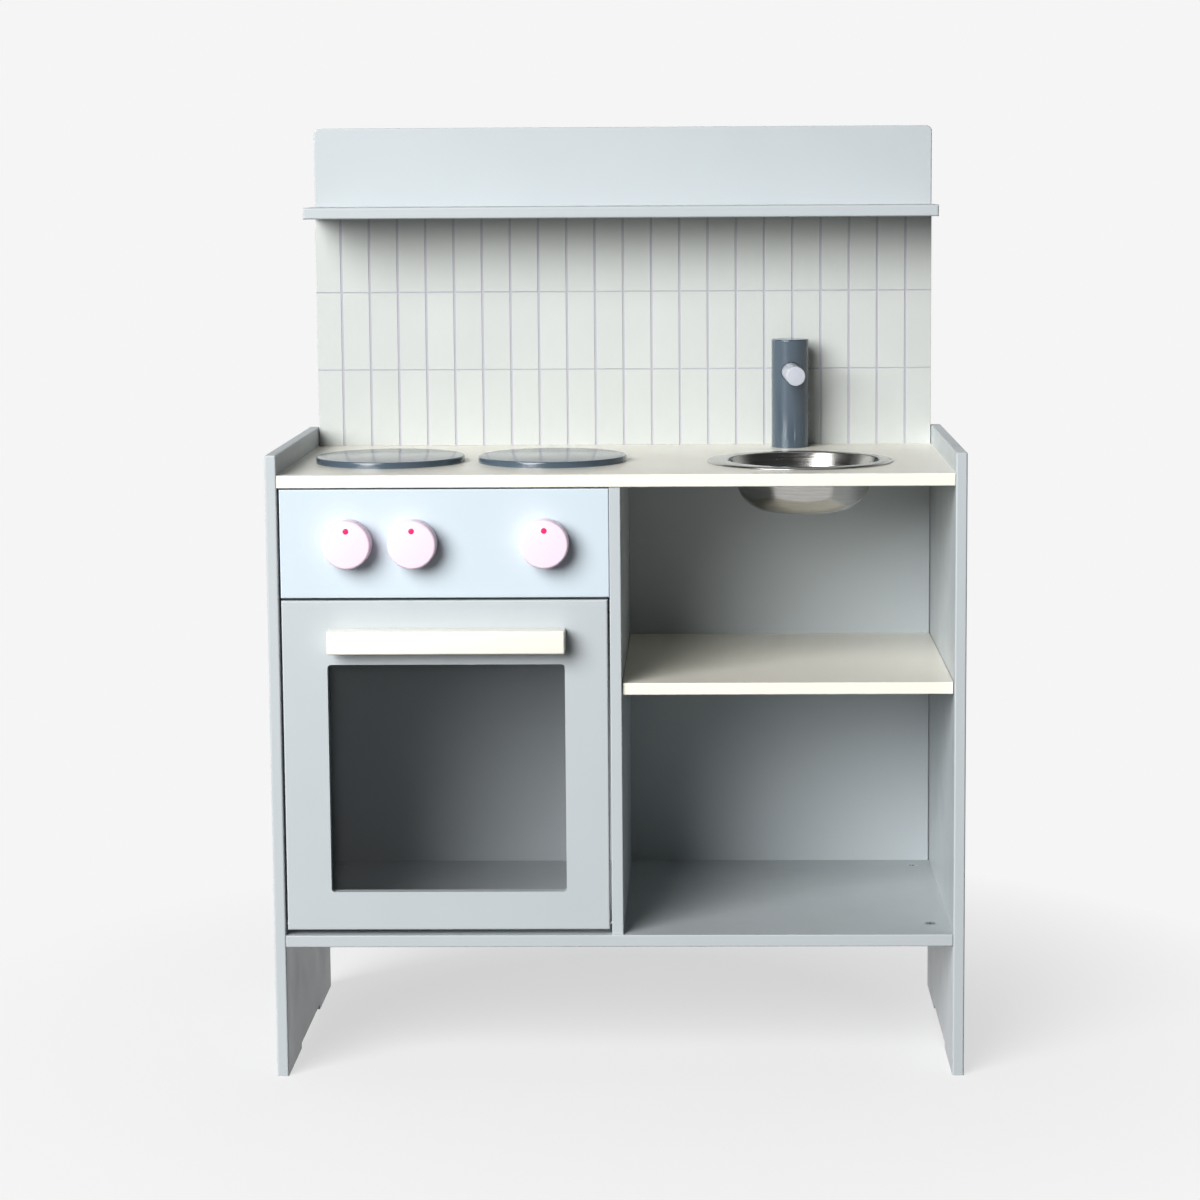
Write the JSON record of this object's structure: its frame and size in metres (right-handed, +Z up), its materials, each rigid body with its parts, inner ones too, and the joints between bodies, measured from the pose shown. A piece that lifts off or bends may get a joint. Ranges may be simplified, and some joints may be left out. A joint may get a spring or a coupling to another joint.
{
  "type": "toy kitchen",
  "caption": "Painted board toy kitchen with a bottom-hinged oven door, turning knobs, a hob, a lift-out sink bowl, a swivelling tap, open cubbies and a tiled splashback with a ledge.",
  "frame": {"origin": "on the floor, in the middle of the object's width and of its depth from the door handle to the back", "axes": "+Z up, +X to the right seen from the front, the front with the oven door faces -Y"},
  "size_m": [0.6, 0.2986, 0.827],
  "materials": {
    "grey_paint": "satin painted board",
    "blue_paint": "satin painted board",
    "cream_paint": "satin painted board",
    "tile_print": "satin embossed tiles with lilac grout",
    "slate_paint": "semi-gloss painted wood",
    "spout_paint": "semi-gloss painted wood",
    "knob_paint": "satin painted wood",
    "pink_paint": "glossy dot",
    "clear_pane": "clear acrylic",
    "steel": "spun and polished",
    "zinc_steel": "zinc plated",
    "magnet_iron": "dark sintered",
    "catch_plastic": "moulded white",
    "beech": "bare fluted beech"
  },
  "bodies": {
    "cabinet": {"back_board": "grey_paint", "back_board_screws": "zinc_steel", "base_board": "grey_paint", "burner_left": "slate_paint", "burner_right": "slate_paint", "burner_screws": "zinc_steel", "cam_bolts": "zinc_steel", "cam_nuts": "zinc_steel", "catch_magnet": "magnet_iron", "catch_screws": "zinc_steel", "control_panel": "blue_paint", "divider_panel": "grey_paint", "hinge_pin_left": "zinc_steel", "hinge_pin_right": "zinc_steel", "ledge_shelf": "grey_paint", "magnet_catch": "catch_plastic", "middle_shelf": "cream_paint", "side_panel_left": "grey_paint", "side_panel_right": "grey_paint", "tile_sheet": "tile_print", "wooden_dowels": "beech", "worktop": "cream_paint"},
    "door": {"oven_door": "grey_paint", "window_pane": "clear_pane", "pane_screws": "zinc_steel", "door_handle": "cream_paint", "handle_screws": "zinc_steel", "strike_plate": "zinc_steel", "strike_screws": "zinc_steel"},
    "knob_left": {"knob_left": "knob_paint", "knob_dot_left": "pink_paint", "knob_bolt_left": "zinc_steel", "knob_washer_left": "zinc_steel"},
    "knob_middle": {"knob_middle": "knob_paint", "knob_dot_middle": "pink_paint", "knob_bolt_middle": "zinc_steel", "knob_washer_middle": "zinc_steel"},
    "knob_right": {"knob_right": "knob_paint", "knob_dot_right": "pink_paint", "knob_bolt_right": "zinc_steel", "knob_washer_right": "zinc_steel"},
    "tap": {"tap_body": "slate_paint", "tap_spout": "spout_paint", "tap_bolt": "zinc_steel", "tap_washer": "zinc_steel"},
    "sink": {"sink_bowl": "steel"}
  },
  "joints": [
    {"name": "door_hinge", "type": "hinge", "parent": "cabinet", "child": "door", "pos_m": [-0.148, -0.12275, 0.1355], "axis": [1, 0, 0], "range_deg": [0, 100]},
    {"name": "knob_left_turn", "type": "hinge", "parent": "cabinet", "child": "knob_left", "pos_m": [-0.2294, -0.12925, 0.47025], "axis": [0, 1, 0], "continuous": true},
    {"name": "knob_middle_turn", "type": "hinge", "parent": "cabinet", "child": "knob_middle", "pos_m": [-0.1735, -0.12925, 0.47025], "axis": [0, 1, 0], "continuous": true},
    {"name": "knob_right_turn", "type": "hinge", "parent": "cabinet", "child": "knob_right", "pos_m": [-0.0607, -0.12925, 0.47025], "axis": [0, 1, 0], "continuous": true},
    {"name": "tap_swivel", "type": "hinge", "parent": "cabinet", "child": "tap", "pos_m": [0.156, 0.11425, 0.5287], "axis": [0, 0, 1], "range_deg": [-103, 97]},
    {"name": "sink_lift", "type": "slide", "parent": "cabinet", "child": "sink", "axis": [0, 0, 1], "range_m": [0, 0.048]}
  ]
}
